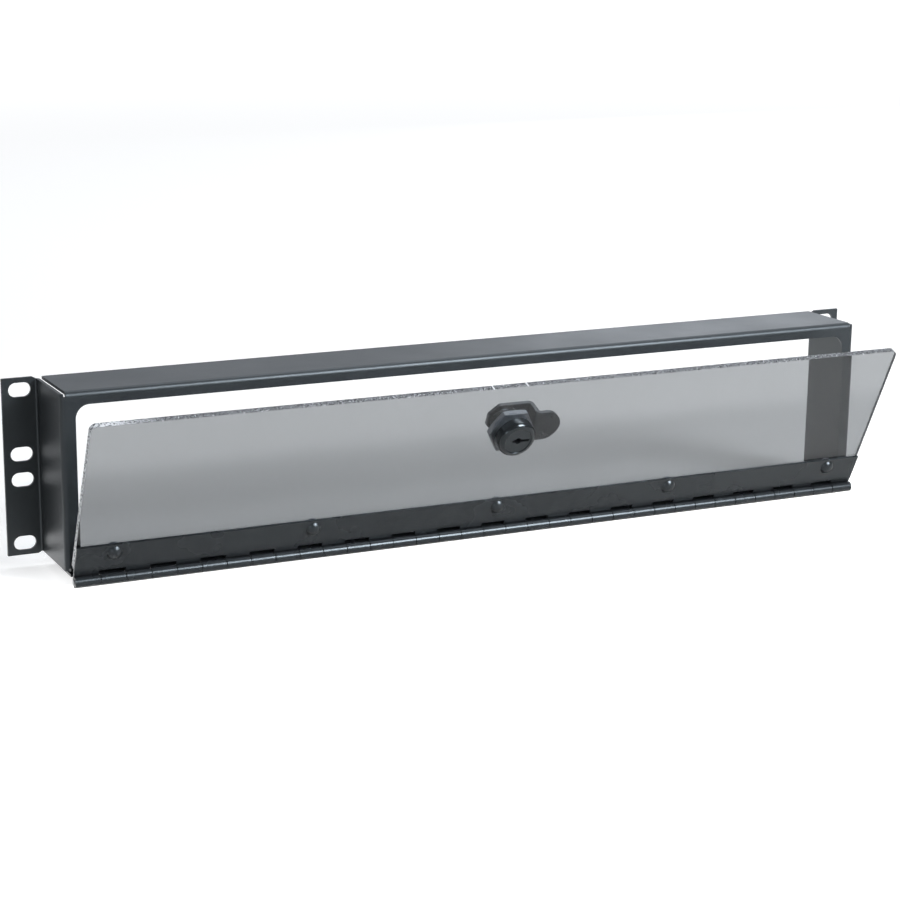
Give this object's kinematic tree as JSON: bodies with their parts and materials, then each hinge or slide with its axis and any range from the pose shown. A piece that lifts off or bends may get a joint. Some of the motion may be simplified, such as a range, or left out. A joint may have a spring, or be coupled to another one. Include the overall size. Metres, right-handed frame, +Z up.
{
  "type": "rack security cover",
  "caption": "Folded steel rack cover frame with a smoked see-through door on a continuous hinge along its foot, closed by a cam lock.",
  "frame": {"origin": "middle of the rack slots, on the rear face of the ears that lies on the rack rails", "axes": "+X to the right seen from the front, +Y into the rack, +Z up"},
  "size_m": [0.4826, 0.083, 0.0936],
  "materials": {
    "frame_paint": "satin powder coat",
    "hinge_paint": "satin powder coat",
    "pin_steel": "drawn wire, blackened",
    "smoked_acrylic": "polished faces, sawn edges",
    "rivet_paint": "satin black",
    "washer_steel": "zinc plated",
    "washer_aluminium": "plain stamped aluminium",
    "lock_black": "gloss black",
    "plug_black": "satin black",
    "nut_steel": "blackened",
    "cam_steel": "zinc plated",
    "screw_steel": "zinc plated"
  },
  "bodies": {
    "frame": {"frame": "frame_paint", "hinge_frame_leaf": "hinge_paint", "hinge_pin": "pin_steel"},
    "door": {"door_panel": "smoked_acrylic", "hinge_door_leaf": "hinge_paint", "lock_housing": "lock_black", "lock_nut": "nut_steel", "door_rivet_1": "rivet_paint", "door_rivet_2": "rivet_paint", "door_rivet_3": "rivet_paint", "door_rivet_4": "rivet_paint", "door_rivet_5": "rivet_paint", "rivet_washer_1": "washer_aluminium", "rivet_washer_2": "washer_aluminium", "rivet_washer_3": "washer_aluminium", "rivet_washer_4": "washer_aluminium", "rivet_washer_5": "washer_aluminium"},
    "lock": {"lock_plug": "plug_black", "cam_stop_washer": "washer_steel", "cam": "cam_steel", "cam_spring_washer": "washer_steel", "cam_screw": "screw_steel"}
  },
  "joints": [
    {"name": "door_hinge", "type": "hinge", "parent": "frame", "child": "door", "pos_m": [0, -0.0473, -0.0468], "axis": [1, 0, 0], "range_deg": [-25, 155]},
    {"name": "lock_turn", "type": "hinge", "parent": "door", "child": "lock", "pos_m": [-0.0013, -0.07538, 0.00692], "axis": [0, -0.9063, -0.4226], "range_deg": [0, 90]}
  ]
}
